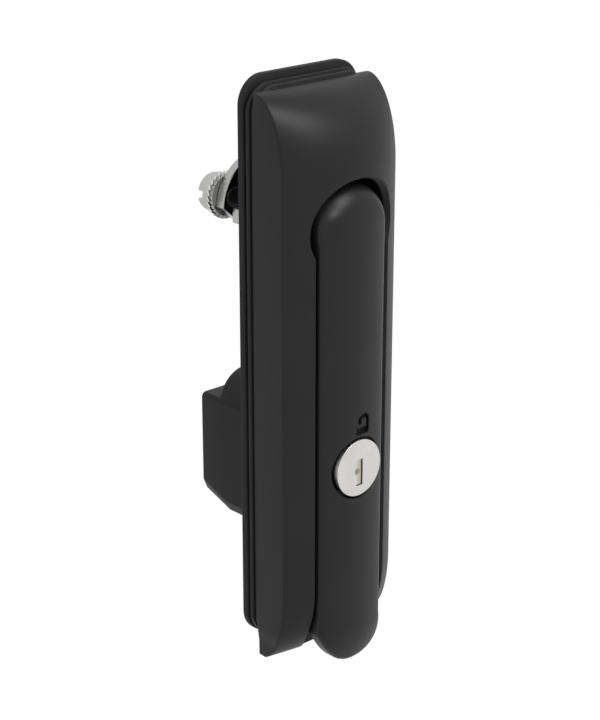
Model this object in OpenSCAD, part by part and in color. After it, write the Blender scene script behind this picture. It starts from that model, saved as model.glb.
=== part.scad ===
// Swing handle latch. Millimetres. The origin is on the spindle axis at the
// door face; the latch faces -Y, the cabinet lies towards +Y, and +Z is up.

/* [Housing] */
// Width of the housing across its side walls
body_w = 43.2; // [42:0.2:50]
// Height of the dished front above the spindle axis
body_up = 39.8; // [36:1:50]
// Height of the dished front below the spindle axis
body_down = 136.6; // [134:0.2:150]
// Depth of the side walls in front of the door
side_depth = 18.6; // [17:0.2:22]
// Radius of the crowned front, across the width
crown_r = 38; // [34:1:60]
// Radius between the side walls and the front
edge_r = 1.2; // [0.5:0.1:2]
// Height over which the front rolls back at the top
top_roll = 24.8; // [18:0.2:25]
// Height over which the front rolls back at the bottom
bottom_roll = 32.9; // [20:0.2:36]
// Depth of the flange that carries the dished front
flange_depth = 6.6; // [6:0.1:7.6]
// Distance of the channel floor in front of the door
floor_depth = 8; // [7.8:0.1:9]

/* [Seal] */
// Width of the seal and of the flange edge
seal_w = 45.6; // [45:0.2:54]
// Height of the seal above the spindle axis
seal_up = 43.6; // [42:0.2:60]
// Height of the seal below the spindle axis
seal_down = 132.1; // [131:0.1:160]
// Corner radius of the seal
seal_r = 8.6; // [6:0.2:9]
// Width of the seal's rim
seal_rim = 3.4; // [3:0.1:5]
// Thickness of the seal
seal_t = 2.4; // [2:0.1:3]

/* [Handle] */
// Width of the grip
grip_w = 25.6; // [24:0.1:26]
// Radius of the round head over the spindle
head_r = 13.6; // [13.2:0.1:13.8]
// Depth of the grip's front in front of the door
grip_front = 27.3; // [26.5:0.1:29]
// Radius of the grip's crowned front
grip_crown_r = 40; // [38:1:80]
// Radius along the edges of the grip
grip_edge_r = 3.1; // [2:0.1:4]
// Radius along the edge of the round head
head_edge_r = 5.5; // [5:0.1:5.6]
// Length of the grip below the spindle axis
grip_down = 139.4; // [136:0.2:150]
// Thickness of the front wall of the grip
grip_front_wall = 3.3; // [2.6:0.1:4]
// Thickness of the side walls of the grip
grip_side_wall = 2.6; // [2:0.1:3]
// Thickness of the ribs inside the grip
rib_t = 1.6; // [1.2:0.1:2]
// Side gap between the grip and the channel
grip_gap = 0.9; // [0.8:0.1:1.2]
// Radial gap between the head and the round pocket
pocket_gap = 1.2; // [1.1:0.1:1.4]

/* [Pivot] */
// Distance of the pivot pin in front of the door
pivot_depth = 17; // [16.6:0.1:17.4]
// Diameter of the pivot pin
pivot_d = 5; // [4:0.1:6]
// Greatest lift of the handle, in degrees
lift_max = 38; // [30:1:38]

/* [Spindle] */
// Diameter of the spindle in its bush
spindle_d = 15; // [13:0.5:15]
// Width of the spindle head between the handle cheeks
spindle_head_w = 10; // [8:0.5:11]
// Wall of the spindle bush
bush_wall = 2; // [1.5:0.1:2.4]
// Diameter of the hub behind the door
hub_d = 22; // [21.5:0.1:23]
// Length of the hub behind the door
hub_len = 11.2; // [8:0.1:12]

/* [Drive disc] */
// Radius of the drive disc
disc_r = 15.5; // [15:0.1:17]
// Thickness of the drive disc
disc_t = 3.3; // [3:0.1:4]
// Distance of the disc's front face behind the door
disc_back = 15; // [14.9:0.1:18]
// Distance of the disc's flats from its centre
disc_flat = 9.6; // [9.5:0.1:12]
// Distance of a rod screw from the spindle axis
rod_radius = 11.3; // [11:0.05:11.8]
// Angle of the rod screws above the horizontal
rod_angle = 18; // [10:1:25]
// Diameter of the rod screw's thread
rod_screw_d = 6; // [5:0.5:6.5]

/* [Lock] */
// Distance of the lock axis below the spindle axis
lock_drop = 73.4; // [72:0.2:75]
// Diameter of the lock face
face_d = 18; // [17:0.1:18.4]
// Distance of the lock face in front of the door
face_front = 27.5; // [27.2:0.1:28]
// Diameter of the lock barrel
barrel_d = 16; // [15:0.1:16.2]
// Diameter of the turning plug
plug_d = 12; // [11:0.1:12.4]
// Reach of the tongue from the lock axis
tongue_reach = 14; // [13:0.1:14.4]
// Thickness of the tongue
tongue_t = 1.6; // [1.4:0.05:1.7]

/* [Lock case] */
// Width of the lock case behind the door
case_w = 24; // [23:0.2:26]
// Depth of the lock case behind the door
case_depth = 31.5; // [24:0.5:40]
// Wall thickness of the lock case
case_wall = 2; // [1.6:0.1:2.4]
// Height of the case above the lock axis
case_up = 10.8; // [10.4:0.1:12]
// Height of the case below the lock axis
case_down = 26.6; // [25:0.2:27]
// Radius of the round boss above the case
boss_r = 10.25; // [9:0.1:11]

/* [Fixing] */
// Width between the threaded fixing holes
fix_w = 35.2; // [34.6:0.1:35.6]
// Height of the upper fixing holes above the spindle axis
fix_up = 27; // [24:1:30]
// Height of the lower fixing holes below the spindle axis
fix_down = 115; // [113:1:118]
// Core diameter of the fixing thread
fix_core = 3.3; // [3:0.1:3.5]

/* [Hidden] */
$fn = 96;
big = 300;

// Fits and gaps
run_gap = 0.05;
press_gap = 0.02;
free_gap = 0.3;

// Housing profile
half_w = body_w / 2;
loft_back = flange_depth - 0.4;
crown_c = side_depth - sqrt(pow(crown_r, 2) - pow(half_w, 2));
fillet_c = crown_c + sqrt(pow(crown_r - edge_r, 2) - pow(half_w - edge_r, 2));
fillet_end = 180 - atan((fillet_c - crown_c) / (half_w - edge_r));
crown_steps = 22;
fillet_steps = 3;
roll_steps = 14;
flange_gap = 0.3;
rim_t = 1.7;
rim_inset = 0.5;
rim_drop = 2.1;
base_edge = 0.2;
base_drop = 2.8;
bottom_drop = 0.4;
groove_inset = 1;

// Channel and pocket
channel_half = grip_w / 2 + grip_gap;
pocket_r = head_r + pocket_gap;

// Grip
grip_half = grip_w / 2;
collar_t = 1;
washer_t = 0.5;
collar_r = spindle_d / 2 + 1.6;
collar_front = floor_depth + washer_t + free_gap + collar_t;
grip_back = collar_front + free_gap;
tip_r = grip_half;
tip_z = -(grip_down - tip_r);
finger_start = 116;
finger_rise = 6.5;
slot_half = spindle_head_w / 2 + free_gap;
slot_top = 10.5;
slot_bottom = 13;
lift_limit = pivot_depth - collar_front - free_gap;
lift_r = pocket_r - free_gap;
lift_steps = 5;
head_lift = 0.06;
head_back = pivot_depth - sqrt(pow(lift_r, 2) - pow(head_r, 2));
head_back_r = sqrt(pow(lift_r, 2) - pow(pivot_depth - grip_back, 2));
rib_pitch = 14;
rib_count = 8;
rib_first = 22;
cavity_end = -finger_start + 3;
grip_cavity = grip_half - grip_side_wall;
boss_wall = 2.9;

// Spindle
spindle_r = spindle_d / 2;
bush_r = spindle_r + run_gap + bush_wall;
head_end_r = pivot_d / 2 + 3;
square_w = 8;
square_end = disc_back + 2;
square_gap = 0.1;
o_ring_r = 0.85;
ring_seat = spindle_r - 2 * o_ring_r - 0.25;
stop_t = disc_back - 0.4 - hub_len;
lug_reach = 12.2;
lug_up = 0.6;
lug_down = 3.9;

// Rod screws
rod_x = rod_radius * cos(rod_angle);
rod_z = rod_radius * sin(rod_angle);
lock_washer_t = 1.6;
lock_washer_r = 7.4;
tooth_count = 30;
tooth_depth = 0.6;
screw_head_r = 6.25;
screw_head_t = 5;
screw_chamfer = 0.4;
slot_w = 2.2;
slot_d = 2.4;
disc_screw_r = 2;
disc_screw_head_r = 3.8;
disc_screw_head_t = 3;
disc_screw_grip = 10.3;
disc_screw_hex_r = 1.8;

// Lock
lock_z = -lock_drop;
face_t = 2;
hole_r = face_d / 2 + 0.4;
barrel_front = face_front - face_t - 0.3;
barrel_r = barrel_d / 2;
plug_r = plug_d / 2;
keeper_t = 1.8;
keeper_front = floor_depth - 1.4;
keeper_half_w = 17;
keeper_half_h = 20;
keeper_slot_w = barrel_r + 0.7;
keeper_slot_h = tongue_reach + 1.2;
tongue_front = keeper_front - keeper_t - free_gap;
tongue_back = tongue_front - tongue_t;
barrel_back = tongue_front + free_gap;
tongue_half_w = 4.5;
tongue_swing = sqrt(pow(tongue_reach, 2) + pow(tongue_half_w, 2));
tongue_side_play = 0.7;
face_chamfer = 0.3;
key_left = -0.4;
key_right = 1.5;
key_up = 2.7;
key_down = 5.7;
key_bulge_x = -0.7;
key_bulge_z = -0.9;
key_bulge_r = 1.1;
key_foot = 0.4;
key_deep = 17;
plug_square = 6;
plug_wall = 0.8;
wafer_count = 5;
wafer_w = 6;
wafer_h = 9;
wafer_t = 1;
wafer_pitch = 2.4;
wafer_first = 5;
wafer_gap = 0.05;
wafer_open = wafer_h - 2.6;
wafer_step = 0.5;
tongue_hub_r = 6;
tongue_screw_r = 1.6;
tongue_screw_len = 5.5;
tongue_washer_t = 0.8;

// Lock case
case_half = case_w / 2;
boss_z = lock_z + case_up - 2.4;
boss_depth = case_depth - 7;
case_flange_half = keeper_half_w + 1.4;
case_flange_top = 27;
case_flange_bottom = 34;
case_flange_r = 2;
case_flange_up = lock_z + case_flange_top;
case_flange_down = lock_z - case_flange_bottom;
case_screw_x = 10;
case_screw_in = 4;
case_screw_up = case_flange_up - case_screw_in;
case_screw_down = case_flange_down + case_screw_in;
case_screw_r = 1.5;
case_head_r = 2.8;
case_head_t = 1.1;
case_head_gap = 0.2;
case_slot_w = 0.7;
case_roll = 1.5;
case_chamfer_w = 2;
case_chamfer_h = 5;
case_slope_h = 4.4;
case_slope_d = 12;

// Inserts
insert_len = 8;
insert_r = fix_core / 2 + 0.9;

// Hollows in the back of the housing
hollow_wall = 1.8;
hollow_rib = 1.4;
hollow_pitch = 16;
hollow_in = pocket_r + 1.4;
hollow_out = half_w - hollow_wall;
hollow_half = channel_half - 1.7;

// Extrudes a drawing of X across and Z up from depth a to depth b; depths are
// counted in front of the door, so a point behind it has a negative depth.
module slab(a, b) {
    translate([0, -a, 0]) rotate([90, 0, 0]) linear_extrude(b - a) children();
}

module rod_y(r, a, b, x = 0, z = 0) {
    slab(a, b) translate([x, z]) circle(r);
}

module rod_x_axis(r, half, depth, z) {
    translate([-half, -depth, z]) rotate([0, 90, 0]) cylinder(h = 2 * half, r = r);
}

module rounded_rect(half, top, bottom, r) {
    translate([-half + r, -bottom]) square([2 * (half - r), top + bottom]);
    translate([-half, -bottom + r]) square([2 * half, top + bottom - 2 * r]);
    for (x = [-half + r, half - r], z = [-bottom + r, top - r])
        translate([x, z]) circle(r);
}

// Half-turned pair: the child and its copy turned half a turn about Y
module both_ends() {
    children();
    rotate([0, 180, 0]) children();
}

// Front of the housing in plan: points of x and depth, from left to right
function arc_points(cx, cy, r, a0, a1, n) =
    [for (i = [0:n]) let (a = a0 + (a1 - a0) * i / n) [cx + r * cos(a), cy + r * sin(a)]];
front_points = concat(
    arc_points(-half_w + edge_r, fillet_c, edge_r, 180, fillet_end, fillet_steps),
    [for (p = arc_points(0, crown_c, crown_r, fillet_end, 180 - fillet_end, crown_steps))
        if (abs(p[0]) < crown_r * cos(180 - fillet_end) - 0.01) p],
    arc_points(half_w - edge_r, fillet_c, edge_r, 180 - fillet_end, 0, fillet_steps));

// Levels of the front: height, and share of the full depth that is left there
top_start = body_up - top_roll;
bottom_start = -body_down + bottom_roll;
bottom_turn = 78.3;
bottom_reach = bottom_roll / sin(bottom_turn);
levels = concat(
    [for (i = [roll_steps:-1:0]) let (a = bottom_turn * i / roll_steps)
        [bottom_start - bottom_reach * sin(a), cos(a)]],
    [for (i = [0:roll_steps]) let (a = 88 * i / roll_steps)
        [top_start + top_roll * sin(a) / sin(88), cos(a)]]);

module dished_front() {
    m = len(front_points) + 2;
    n = len(levels);
    points = [for (l = levels) each concat(
        [[-half_w, -loft_back, l[0]]],
        [for (p = front_points) [p[0], -(flange_depth + (p[1] - flange_depth) * l[1]), l[0]]],
        [[half_w, -loft_back, l[0]]])];
    sides = [for (j = [0:n - 2], i = [0:m - 1]) let (k = (i + 1) % m)
        each [[j * m + i, (j + 1) * m + i, (j + 1) * m + k], [j * m + i, (j + 1) * m + k, j * m + k]]];
    polyhedron(points, concat(sides,
        [[for (i = [0:m - 1]) i]], [[for (i = [m - 1:-1:0]) (n - 1) * m + i]]));
}

module flange() {
    groove_front = seal_t + flange_gap;
    rim_front = groove_front + rim_t;
    base_start = rim_front + flange_gap;
    seal_half = seal_w / 2;
    slab(seal_t, base_start) rounded_rect(seal_half - groove_inset - rim_inset,
        seal_up - base_drop, seal_down - 2 * bottom_drop, seal_r - groove_inset);
    slab(groove_front, rim_front) rounded_rect(seal_half - rim_inset,
        seal_up - rim_drop, seal_down - bottom_drop, seal_r - rim_inset);
    slab(base_start, flange_depth) rounded_rect(half_w + base_edge,
        seal_up - base_drop, seal_down - bottom_drop, seal_r - 1);
}

// Ribbed hollows that open towards the door
module rear_hollows() {
    upper = case_flange_up + hollow_wall;
    lower = case_flange_down - hollow_wall;
    module ribs() {
        for (z = [upper - hollow_rib:hollow_pitch:seal_up]) translate([-big, -big, z])
            cube([2 * big, 2 * big, hollow_rib]);
        translate([-hollow_rib / 2, -big, -big]) cube([hollow_rib, 2 * big, 2 * big]);
    }
    difference() {
        union() {
            for (s = [0, 1]) mirror([s, 0, 0]) slab(0, side_depth - 3) translate([hollow_in, upper])
                square([hollow_out - hollow_in, fix_up - insert_r - hollow_wall - upper]);
            slab(0, floor_depth - hollow_wall) translate([-hollow_half, upper])
                square([2 * hollow_half, -hub_d / 2 - hollow_wall - upper]);
            slab(0, side_depth - 6) translate([-hollow_half, pocket_r + hollow_wall])
                square([2 * hollow_half, body_up - 7 - pocket_r - hollow_wall]);
        }
        ribs();
    }
    difference() {
        slab(0, floor_depth - hollow_wall) translate([-hollow_half, -seal_down + 5])
            square([2 * hollow_half, seal_down - 5 + lower]);
        translate([-hollow_rib / 2, -big, -big]) cube([hollow_rib, 2 * big, 2 * big]);
    }
}

module housing() {
    color("#1c1d1f") difference() {
        union() {
            dished_front();
            flange();
            rod_y(hub_d / 2, -hub_len, flange_depth);
        }
        // channel for the grip, round pocket for its head
        slab(floor_depth, big) translate([-channel_half, -big]) square([2 * channel_half, big]);
        rod_y(pocket_r, floor_depth, big);
        rod_y(bush_r + press_gap, -hub_len - 1, floor_depth + 1);
        // well for the lock, recess for the keeper plate
        slab(0, floor_depth + 1) translate([0, lock_z])
            square([2 * keeper_slot_w + 4, 2 * keeper_slot_h + 3], center = true);
        slab(0, keeper_front) translate([0, lock_z])
            square([2 * keeper_half_w + 0.2, 2 * keeper_half_h + 0.2], center = true);
        for (z = [case_screw_up, case_screw_down], x = [-case_screw_x, case_screw_x])
            rod_y(case_screw_r + press_gap, 0, floor_depth - 0.4, x, z);
        for (z = [fix_up, -fix_down], x = [-fix_w / 2, fix_w / 2])
            rod_y(insert_r + press_gap, 0, seal_t + insert_len, x, z);
        rear_hollows();
    }
}

module seal() {
    color("#18191a") slab(0, seal_t) difference() {
        intersection() {
            rounded_rect(seal_w / 2, seal_up, seal_down, seal_r);
            union() {
                difference() {
                    square(2 * big, center = true);
                    rounded_rect(seal_w / 2 - seal_rim, seal_up - seal_rim, seal_down - seal_rim,
                        seal_r - seal_rim);
                }
                for (z = [fix_up, -fix_down], x = [-fix_w / 2, fix_w / 2])
                    translate([x, z]) circle(insert_r + 2.6);
            }
        }
        for (z = [fix_up, -fix_down], x = [-fix_w / 2, fix_w / 2])
            translate([x, z]) circle(insert_r + 0.2);
        rounded_rect(case_flange_half + free_gap, case_flange_up + free_gap,
            -case_flange_down + free_gap, case_flange_r);
    }
}

module threaded_inserts() {
    color("#b08d4a") for (z = [fix_up, -fix_down], x = [-fix_w / 2, fix_w / 2])
        difference() {
            rod_y(insert_r, seal_t, seal_t + insert_len, x, z);
            rod_y(fix_core / 2, 0, seal_t + insert_len + 1, x, z);
        }
}

module spindle_bush() {
    color("#c9b37a") difference() {
        rod_y(bush_r, -hub_len, floor_depth);
        rod_y(spindle_r + run_gap, -hub_len - 1, floor_depth + 1);
    }
}

module thrust_washer() {
    color("#e4e4df") difference() {
        rod_y(collar_r + 1.4, floor_depth, floor_depth + washer_t);
        rod_y(spindle_r + 0.15, floor_depth - 1, floor_depth + washer_t + 1);
    }
}

// Ring on the hub's end; its lug stops the turning spindle
module stop_ring() {
    color("#b9bbbd") difference() {
        slab(-hub_len - stop_t, -hub_len) {
            circle(bush_r - 0.2);
            translate([-lug_reach, -lug_down]) square([lug_reach, lug_up + lug_down]);
        }
        rod_y(spindle_r + free_gap, -big, big);
    }
}

module case_outline() {
    up = lock_z + case_up;
    down = lock_z - case_down;
    difference() {
        translate([-case_half, down]) square([case_w, up - down]);
        for (s = [-1, 1]) polygon([[s * case_half, down + case_chamfer_h],
            [s * (case_half - case_chamfer_w), down], [s * (case_half + 1), down - 1],
            [s * (case_half + 1), down + case_chamfer_h]]);
    }
}

module case_side() {
    up = lock_z + case_up;
    down = lock_z - case_down;
    polygon([[0, up], [case_depth - case_roll, up], [case_depth, up - case_roll],
        [case_depth, down + case_slope_h], [case_depth - case_slope_d, down], [0, down]]);
}

module lock_case() {
    up = lock_z + case_up;
    down = lock_z - case_down;
    color("#1c1d1f") difference() {
        union() {
            intersection() {
                slab(-case_depth, 0) case_outline();
                translate([-case_half, 0, 0]) rotate([90, 0, 90]) linear_extrude(case_w) case_side();
            }
            rod_y(boss_r, -boss_depth, 0, 0, boss_z);
            slab(0, seal_t) rounded_rect(case_flange_half, case_flange_up, -case_flange_down,
                case_flange_r);
            slab(seal_t, keeper_front - keeper_t) difference() {
                translate([0, lock_z]) square([2 * keeper_half_w, 2 * keeper_half_h], center = true);
                translate([0, lock_z]) circle(tongue_swing + tongue_side_play);
            }
        }
        slab(-case_depth + case_slope_d, seal_t + 0.01)
            translate([-case_half + case_wall, down + case_chamfer_h + case_wall])
                square([case_w - 2 * case_wall, up - down - case_chamfer_h - 2 * case_wall]);
        for (z = [case_screw_up, case_screw_down], x = [-case_screw_x, case_screw_x]) {
            rod_y(case_screw_r + case_head_gap, -1, seal_t + 1, x, z);
            rod_y(case_head_r + case_head_gap, -1, case_head_t + 0.1, x, z);
        }
    }
}

module case_screws() {
    color("#8f9296") for (z = [case_screw_up, case_screw_down], x = [-case_screw_x, case_screw_x])
        difference() {
            union() {
                rod_y(case_screw_r, case_head_t, floor_depth - 0.8, x, z);
                rod_y(case_head_r, 0.1, case_head_t + 0.1, x, z);
            }
            slab(0, case_head_t / 2 + 0.1) translate([x, z])
                square([1.5 * case_head_r, case_slot_w], center = true);
        }
}

module keeper_plate() {
    color("#9da0a3") slab(keeper_front - keeper_t, keeper_front) translate([0, lock_z]) difference() {
        square([2 * keeper_half_w, 2 * keeper_half_h], center = true);
        square([2 * keeper_slot_w, 2 * keeper_slot_h], center = true);
    }
}

module handle_buffer() {
    color("#141414") slab(floor_depth, grip_back - free_gap)
        translate([0, -(rib_first + rib_pitch * 6)]) square([14, 6], center = true);
}

module spindle() {
    color("#a9abad") difference() {
        union() {
            rod_x_axis(head_end_r, spindle_head_w / 2, pivot_depth, 0);
            translate([-spindle_head_w / 2, -pivot_depth, -head_end_r])
                cube([spindle_head_w, pivot_depth - collar_front + 0.1, 2 * head_end_r]);
            rod_y(collar_r, collar_front - collar_t, collar_front);
            rod_y(spindle_r, -disc_back + 0.1, collar_front);
            slab(-square_end, 0) square(square_w, center = true);
        }
        rod_x_axis(pivot_d / 2 + press_gap, spindle_head_w, pivot_depth, 0);
        rotate([90, 0, 0]) rotate_extrude() translate([ring_seat, -o_ring_r - 0.1])
            square([3, 2 * o_ring_r + 0.2]);
        rod_y(disc_screw_r, -square_end - 1, disc_screw_grip + 3 - disc_back - disc_t);
    }
}

module spindle_o_ring() {
    color("#101010") rotate([90, 0, 0]) rotate_extrude()
        translate([ring_seat + press_gap + o_ring_r, 0]) circle(o_ring_r, $fn = 24);
}

module drive_disc() {
    back = disc_back + disc_t;
    color("#b4b6b8") difference() {
        slab(-back, -disc_back) intersection() {
            circle(disc_r);
            rotate(45) square([2 * disc_flat, big], center = true);
        }
        slab(-square_end - 0.1, 0) square(square_w + square_gap, center = true);
        rod_y(disc_screw_r + 0.1, -back - 1, 0);
        both_ends() rod_y(rod_screw_d / 2 + press_gap, -back - 1, 0, -rod_x, rod_z);
    }
}

module disc_screw() {
    back = disc_back + disc_t;
    color("#8f9296") difference() {
        union() {
            rod_y(disc_screw_head_r, -back - disc_screw_head_t, -back);
            rod_y(disc_screw_r - press_gap, -back, disc_screw_grip - back);
        }
        slab(-big, -back - disc_screw_head_t / 2) circle(disc_screw_hex_r, $fn = 6);
    }
}

module rod_screw() {
    seat = disc_back + disc_t + lock_washer_t;
    translate([-rod_x, 0, rod_z]) difference() {
        union() {
            rod_y(rod_screw_d / 2, -seat, -disc_back);
            translate([0, seat, 0]) rotate([-90, 0, 0]) {
                cylinder(h = screw_head_t - screw_chamfer, r = screw_head_r);
                translate([0, 0, screw_head_t - screw_chamfer])
                    cylinder(h = screw_chamfer, r1 = screw_head_r, r2 = screw_head_r - screw_chamfer);
            }
        }
        slab(-seat - screw_head_t - 1, -seat - screw_head_t + slot_d)
            square([3 * screw_head_r, slot_w], center = true);
    }
}

module rod_screws() {
    color("#c4c6c8") both_ends() rod_screw();
}

module serrated_washer() {
    step = 360 / tooth_count;
    back = disc_back + disc_t;
    translate([-rod_x, 0, rod_z]) slab(-back - lock_washer_t, -back) difference() {
        polygon([for (i = [0:tooth_count - 1], q = [[0, 0], [0.4, 0], [0.55, -tooth_depth], [0.85, -tooth_depth]])
            let (a = step * (i + q[0]), r = lock_washer_r + q[1]) [r * cos(a), r * sin(a)]]);
        circle(rod_screw_d / 2 + 0.15);
    }
}

module serrated_washers() {
    color("#a5a7a9") both_ends() serrated_washer();
}

module pivot_pin() {
    color("#c4c6c8") rod_x_axis(pivot_d / 2, grip_half - 0.4, pivot_depth, 0);
}

// Depth of the crowned front at distance x from the middle, and the front
// half of a section that ends at the given half width with rounding rc
function crown_centre() = grip_front - grip_crown_r;
function edge_centre(half, rc) =
    crown_centre() + sqrt(pow(grip_crown_r - rc, 2) - pow(half - rc, 2));
function edge_depth(x, half, rc) = x > half ? 0 :
    edge_centre(half, rc) + sqrt(pow(rc, 2) - pow(x - half + rc, 2));
function edge_turn(half, rc) = atan((edge_centre(half, rc) - crown_centre()) / (half - rc));
function grip_half_section() = let (a1 = edge_turn(grip_half, grip_edge_r))
    concat([[0, grip_back], [grip_half, grip_back]],
        arc_points(grip_half - grip_edge_r, edge_centre(grip_half, grip_edge_r), grip_edge_r, 0, a1, 8),
        [for (i = [1:10]) let (a = a1 + (90 - a1) * i / 10)
            [grip_crown_r * cos(a), crown_centre() + grip_crown_r * sin(a)]]);

// The head is wider than the grip and has a softer edge; its outline also
// holds the grip's own section, so that no corner of the grip stands out of it
function head_half_section() = let (
    a1 = edge_turn(grip_half, grip_edge_r),
    soft = arc_points(head_r - head_edge_r, edge_centre(head_r, head_edge_r), head_edge_r, 0,
        edge_turn(head_r, head_edge_r), 12))
    concat([[0, grip_back], [head_back_r, grip_back], [head_r, head_back]],
        [for (p = soft) [p[0], head_lift + (p[0] > grip_half - 0.3 || p[0] < grip_half - grip_edge_r ?
            p[1] : max(p[1], edge_depth(p[0], grip_half, grip_edge_r)))]],
        [for (i = [1:8]) let (a0 = edge_turn(head_r, head_edge_r), a = a0 + (90 - a0) * i / 8)
            [grip_crown_r * cos(a), head_lift + crown_centre() + grip_crown_r * sin(a)]]);

module turned(section, angle) {
    rotate([90, 0, 0]) rotate_extrude(angle = angle) polygon(section);
}

module grip_section() {
    p = grip_half_section();
    polygon(concat(p, [for (i = [len(p) - 1:-1:1]) [-p[i][0], p[i][1]]]));
}

module grip_outside() {
    turned(head_half_section(), 360);
    translate([0, 0, tip_z]) mirror([0, 1, 0]) linear_extrude(-tip_z) grip_section();
    translate([0, 0, tip_z]) mirror([0, 0, 1]) turned(grip_half_section(), 180);
}

module handle() {
    inside = grip_front - grip_front_wall;
    color("#1c1d1f") difference() {
        grip_outside();
        // hollow back, with ribs and a boss left round the lock
        difference() {
            translate([-grip_cavity, -inside, cavity_end])
                cube([2 * grip_cavity, big, -cavity_end - slot_bottom - 3]);
            for (i = [0:rib_count - 1]) translate([-big, -big, -rib_first - rib_pitch * i - rib_t / 2])
                cube([2 * big, 2 * big, rib_t]);
            rod_y(barrel_r + boss_wall, 0, big, 0, lock_z);
        }
        // slot and hinge bore for the spindle head
        translate([-slot_half, -inside, -slot_bottom])
            cube([2 * slot_half, big, slot_top + slot_bottom]);
        rod_x_axis(pivot_d / 2 + run_gap, big, pivot_depth, 0);
        // relief that lets the head turn when the grip is lifted
        for (i = [1:lift_steps]) translate([0, -pivot_depth, 0]) rotate([lift_max * i / lift_steps, 0, 0])
            translate([-big, lift_limit, 0]) cube([2 * big, big, big]);
        // finger room behind the tip
        translate([0, -grip_back, -finger_start])
            rotate([-atan(finger_rise / (grip_down - finger_start)), 0, 0])
                translate([-big, 0, -big]) cube([2 * big, big, big]);
        // lock
        rod_y(hole_r, barrel_front, big, 0, lock_z);
        rod_y(barrel_r + press_gap, 0, big, 0, lock_z);
        translate([0, -grip_back - 4, lock_z + barrel_r - 1]) cylinder(h = 8, r = 1.52);
    }
}

module lock_barrel() {
    color("#a9abad") difference() {
        rod_y(barrel_r, barrel_back, barrel_front, 0, lock_z);
        rod_y(plug_r + run_gap, 0, big, 0, lock_z);
        translate([0, -grip_back - 4, lock_z + barrel_r - 1]) cylinder(h = 8, r = 1.52);
        translate([0, 0, lock_z]) rotate([90, 0, 0]) rotate_extrude()
            translate([barrel_r - 1.2, barrel_front - 6]) square([3, 1.6]);
    }
}

module barrel_screw() {
    color("#3a3b3d") translate([0, -grip_back - 4, lock_z + barrel_r - 0.9]) difference() {
        cylinder(h = 4, r = 1.5);
        translate([0, 0, 2.8]) cylinder(h = 2, r = 0.8, $fn = 6);
    }
}

module barrel_o_ring() {
    color("#101010") translate([0, 0, lock_z]) rotate([90, 0, 0]) rotate_extrude()
        translate([barrel_r - 0.6, barrel_front - 5.2]) circle(0.55, $fn = 24);
}

module keyway() {
    translate([key_left, -key_down]) square([key_right - key_left, key_up + key_down]);
    translate([key_left - key_foot, -key_down]) square([key_right - key_left, 2 * key_foot]);
    translate([key_bulge_x, key_bulge_z]) circle(key_bulge_r);
}

module lock_plug() {
    color("#cfd1d3") difference() {
        union() {
            rod_y(face_d / 2, face_front - face_t, face_front - face_chamfer, 0, lock_z);
            translate([0, -face_front + face_chamfer, lock_z]) rotate([90, 0, 0])
                cylinder(h = face_chamfer, r1 = face_d / 2, r2 = face_d / 2 - face_chamfer);
            rod_y(plug_r, tongue_front, face_front - face_t, 0, lock_z);
            slab(tongue_back, tongue_front) translate([0, lock_z]) square(plug_square, center = true);
        }
        slab(face_front - face_t, big) translate([0, lock_z]) keyway();
        slab(face_front - key_deep, big) translate([0, lock_z]) intersection() {
            keyway();
            circle(plug_r - plug_wall);
        }
        for (i = [0:wafer_count - 1]) let (d = face_front - wafer_first - wafer_pitch * i)
            slab(d - wafer_t - wafer_gap, d + wafer_gap) translate([0, lock_z])
                square([wafer_w + 2 * wafer_gap, wafer_h + 2 * wafer_gap], center = true);
        rod_y(tongue_screw_r, 0, tongue_front + tongue_screw_len, 0, lock_z);
    }
}

module lock_wafers() {
    color("#b08d4a") for (i = [0:wafer_count - 1]) let (d = face_front - wafer_first - wafer_pitch * i)
        slab(d - wafer_t, d) translate([0, lock_z]) difference() {
            square([wafer_w, wafer_h], center = true);
            square([2 * key_right, wafer_open - wafer_step * (i % 3)], center = true);
        }
}

module lock_tongue() {
    color("#9da0a3") slab(tongue_back, tongue_front) translate([0, lock_z]) difference() {
        union() {
            circle(tongue_hub_r);
            translate([-tongue_half_w, 0]) square([2 * tongue_half_w, tongue_reach]);
        }
        square(plug_square + square_gap, center = true);
    }
}

module tongue_washer() {
    color("#b9bbbd") difference() {
        rod_y(tongue_hub_r - 1.4, tongue_back - tongue_washer_t, tongue_back, 0, lock_z);
        rod_y(tongue_screw_r + 0.1, -big, big, 0, lock_z);
    }
}

module tongue_screw() {
    color("#8f9296") difference() {
        union() {
            rod_y(2.2 * tongue_screw_r, tongue_back - 4 * tongue_washer_t,
                tongue_back - tongue_washer_t, 0, lock_z);
            rod_y(tongue_screw_r - press_gap, tongue_back - tongue_washer_t,
                tongue_front + tongue_screw_len - 1, 0, lock_z);
        }
        for (a = [0, 90]) slab(tongue_back - 5 * tongue_washer_t, tongue_back - 2.5 * tongue_washer_t)
            translate([0, lock_z]) rotate(a) square([2.5 * tongue_screw_r, tongue_washer_t], center = true);
    }
}

housing();
seal();
threaded_inserts();
spindle_bush();
thrust_washer();
stop_ring();
lock_case();
case_screws();
keeper_plate();
handle_buffer();
spindle();
spindle_o_ring();
drive_disc();
disc_screw();
rod_screws();
serrated_washers();
pivot_pin();
handle();
lock_barrel();
barrel_screw();
barrel_o_ring();
lock_plug();
lock_wafers();
lock_tongue();
tongue_washer();
tongue_screw();
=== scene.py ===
import math

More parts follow.
